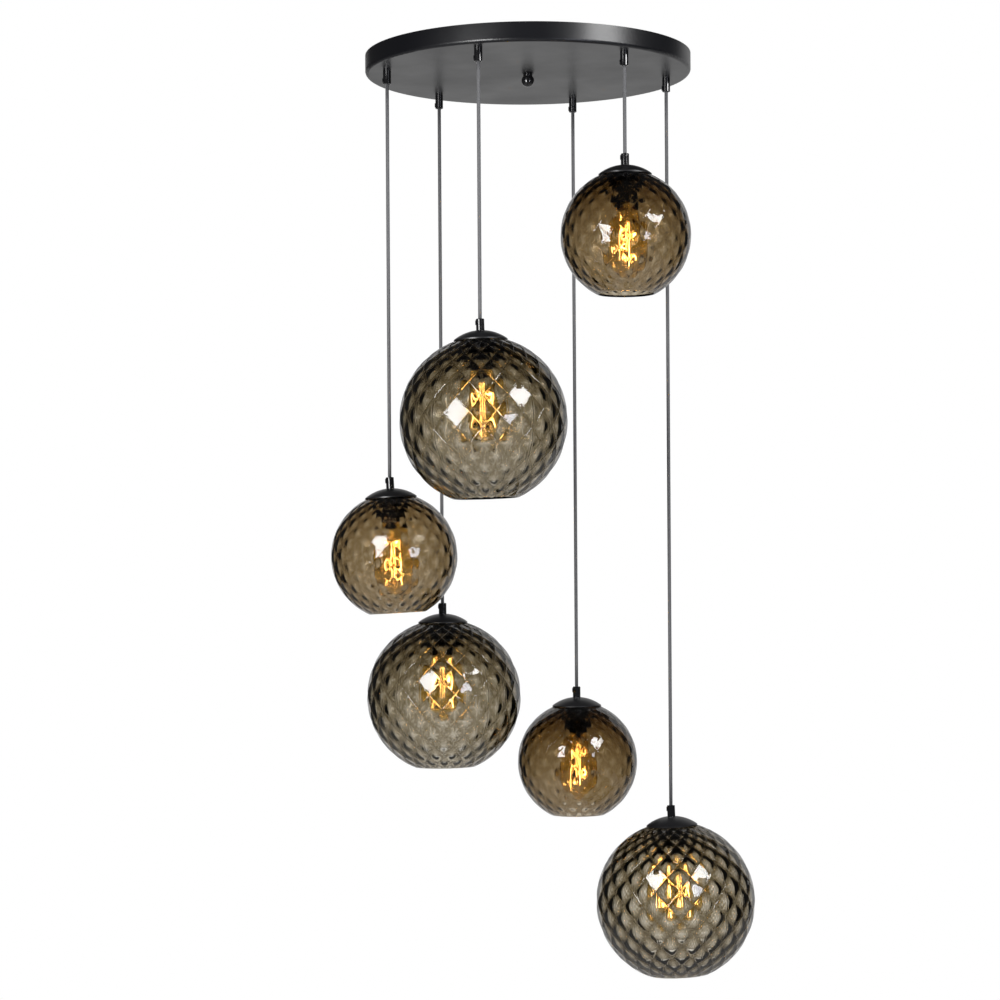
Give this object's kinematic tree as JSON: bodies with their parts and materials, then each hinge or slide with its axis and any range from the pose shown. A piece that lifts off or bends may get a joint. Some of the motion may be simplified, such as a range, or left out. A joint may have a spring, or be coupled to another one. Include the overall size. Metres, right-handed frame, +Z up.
{
  "type": "cluster pendant light",
  "caption": "Cluster pendant: a round ceiling pan with open-mouthed smoke-glass globes on straight cords of different lengths, each with a domed cap and a filament bulb.",
  "frame": {"origin": "on the ceiling, midway between the two fixing slots and over the middle of the pan", "axes": "+Z up into the ceiling, +X to the right along the strap, +Y away from the viewer in front"},
  "size_m": [0.6601, 0.6402, 1.4438],
  "materials": {
    "plate_black": "satin",
    "nut_black": "gloss",
    "zinc_steel": "bright zinc",
    "grip_black": "gloss",
    "terminal_white": "matte",
    "cord_grey": "fine weave",
    "cap_black": "satin",
    "holder_black": "semi-gloss",
    "smoke_glass": "clear, tinted",
    "amber_glass": "clear, tinted",
    "cap_brass": "plain",
    "filament_glass": "coated"
  },
  "bodies": {
    "root": {"ceiling_plate": "plate_black", "mounting_bracket": "zinc_steel", "plate_cord_grips": "grip_black", "terminal_block": "terminal_white", "cord_tails": "cord_grey"},
    "ball_nut": {"ball_nut": "nut_black"},
    "cord_a": {"cord_a": "cord_grey"},
    "pendant_a": {"cap_grip_a": "grip_black", "cap_a": "cap_black", "lamp_holder_a": "holder_black", "shade_ring_a": "holder_black", "glass_a": "smoke_glass"},
    "bulb_a": {"bulb_glass_a": "amber_glass", "bulb_cap_a": "cap_brass", "bulb_filament_a": "filament_glass"},
    "cord_b": {"cord_b": "cord_grey"},
    "pendant_b": {"cap_grip_b": "grip_black", "cap_b": "cap_black", "lamp_holder_b": "holder_black", "shade_ring_b": "holder_black", "glass_b": "smoke_glass"},
    "bulb_b": {"bulb_glass_b": "amber_glass", "bulb_cap_b": "cap_brass", "bulb_filament_b": "filament_glass"},
    "cord_c": {"cord_c": "cord_grey"},
    "pendant_c": {"cap_grip_c": "grip_black", "cap_c": "cap_black", "lamp_holder_c": "holder_black", "shade_ring_c": "holder_black", "glass_c": "smoke_glass"},
    "bulb_c": {"bulb_glass_c": "amber_glass", "bulb_cap_c": "cap_brass", "bulb_filament_c": "filament_glass"},
    "cord_d": {"cord_d": "cord_grey"},
    "pendant_d": {"cap_grip_d": "grip_black", "cap_d": "cap_black", "lamp_holder_d": "holder_black", "shade_ring_d": "holder_black", "glass_d": "smoke_glass"},
    "bulb_d": {"bulb_glass_d": "amber_glass", "bulb_cap_d": "cap_brass", "bulb_filament_d": "filament_glass"},
    "cord_e": {"cord_e": "cord_grey"},
    "pendant_e": {"cap_grip_e": "grip_black", "cap_e": "cap_black", "lamp_holder_e": "holder_black", "shade_ring_e": "holder_black", "glass_e": "smoke_glass"},
    "bulb_e": {"bulb_glass_e": "amber_glass", "bulb_cap_e": "cap_brass", "bulb_filament_e": "filament_glass"},
    "cord_f": {"cord_f": "cord_grey"},
    "pendant_f": {"cap_grip_f": "grip_black", "cap_f": "cap_black", "lamp_holder_f": "holder_black", "shade_ring_f": "holder_black", "glass_f": "smoke_glass"},
    "bulb_f": {"bulb_glass_f": "amber_glass", "bulb_cap_f": "cap_brass", "bulb_filament_f": "filament_glass"}
  },
  "joints": [
    {"name": "ball_nut_turn", "type": "hinge", "parent": "root", "child": "ball_nut", "pos_m": [0, 0, -0.0385], "axis": [0, 0, 1], "range_deg": [0, 1800]},
    {"name": "swing_a", "type": "hinge", "parent": "root", "child": "cord_a", "pos_m": [-0.21863, -0.03855, -0.048], "axis": [1, 0, 0], "range_deg": [-6, 6]},
    {"name": "height_a", "type": "slide", "parent": "cord_a", "child": "pendant_a", "axis": [0, 0, 1], "range_m": [0, 0.11], "deforming": ["cord_a"]},
    {"name": "bulb_turn_a", "type": "hinge", "parent": "pendant_a", "child": "bulb_a", "pos_m": [-0.21863, -0.03855, -0.65841], "axis": [-0.0523, 0, 0.9986], "range_deg": [0, 1080]},
    {"name": "swing_b", "type": "hinge", "parent": "root", "child": "cord_b", "pos_m": [-0.1427, 0.17006, -0.048], "axis": [1, 0, 0], "range_deg": [-6, 6]},
    {"name": "height_b", "type": "slide", "parent": "cord_b", "child": "pendant_b", "axis": [0, 0, 1], "range_m": [0, 0.15], "deforming": ["cord_b"]},
    {"name": "bulb_turn_b", "type": "hinge", "parent": "pendant_b", "child": "bulb_b", "pos_m": [-0.1427, 0.17006, -0.85457], "axis": [-0.0105, 0, 0.9999], "range_deg": [0, 1080]},
    {"name": "swing_c", "type": "hinge", "parent": "root", "child": "cord_c", "pos_m": [-0.07593, -0.20861, -0.048], "axis": [1, 0, 0], "range_deg": [-6, 6]},
    {"name": "height_c", "type": "slide", "parent": "cord_c", "child": "pendant_c", "axis": [0, 0, 1], "range_m": [0, 0.19], "deforming": ["cord_c"]},
    {"name": "bulb_turn_c", "type": "hinge", "parent": "pendant_c", "child": "bulb_c", "pos_m": [-0.07593, -0.20861, -0.43157], "axis": [-0.0279, 0, 0.9996], "range_deg": [0, 1080]},
    {"name": "swing_d", "type": "hinge", "parent": "root", "child": "cord_d", "pos_m": [0.07593, 0.20861, -0.048], "axis": [1, 0, 0], "range_deg": [-6, 6]},
    {"name": "height_d", "type": "slide", "parent": "cord_d", "child": "pendant_d", "axis": [0, 0, 1], "range_m": [0, 0.035], "deforming": ["cord_d"]},
    {"name": "bulb_turn_d", "type": "hinge", "parent": "pendant_d", "child": "bulb_d", "pos_m": [0.07593, 0.20861, -0.99341], "axis": [-0.0052, 0, 1], "range_deg": [0, 1080]},
    {"name": "swing_e", "type": "hinge", "parent": "root", "child": "cord_e", "pos_m": [0.1427, -0.17006, -0.048], "axis": [1, 0, 0], "range_deg": [-6, 6]},
    {"name": "height_e", "type": "slide", "parent": "cord_e", "child": "pendant_e", "axis": [0, 0, 1], "range_m": [0, 0.08], "deforming": ["cord_e"]},
    {"name": "bulb_turn_e", "type": "hinge", "parent": "pendant_e", "child": "bulb_e", "pos_m": [0.1427, -0.17006, -0.18141], "axis": [-0.0035, 0, 1], "range_deg": [0, 1080]},
    {"name": "swing_f", "type": "hinge", "parent": "root", "child": "cord_f", "pos_m": [0.21863, 0.03855, -0.048], "axis": [1, 0, 0], "range_deg": [-6, 6]},
    {"name": "height_f", "type": "slide", "parent": "cord_f", "child": "pendant_f", "axis": [0, 0, 1], "range_m": [0, 0.13], "deforming": ["cord_f"]},
    {"name": "bulb_turn_f", "type": "hinge", "parent": "pendant_f", "child": "bulb_f", "pos_m": [0.21863, 0.03855, -1.17557], "axis": [-0.0419, 0, 0.9991], "range_deg": [0, 1080]}
  ]
}
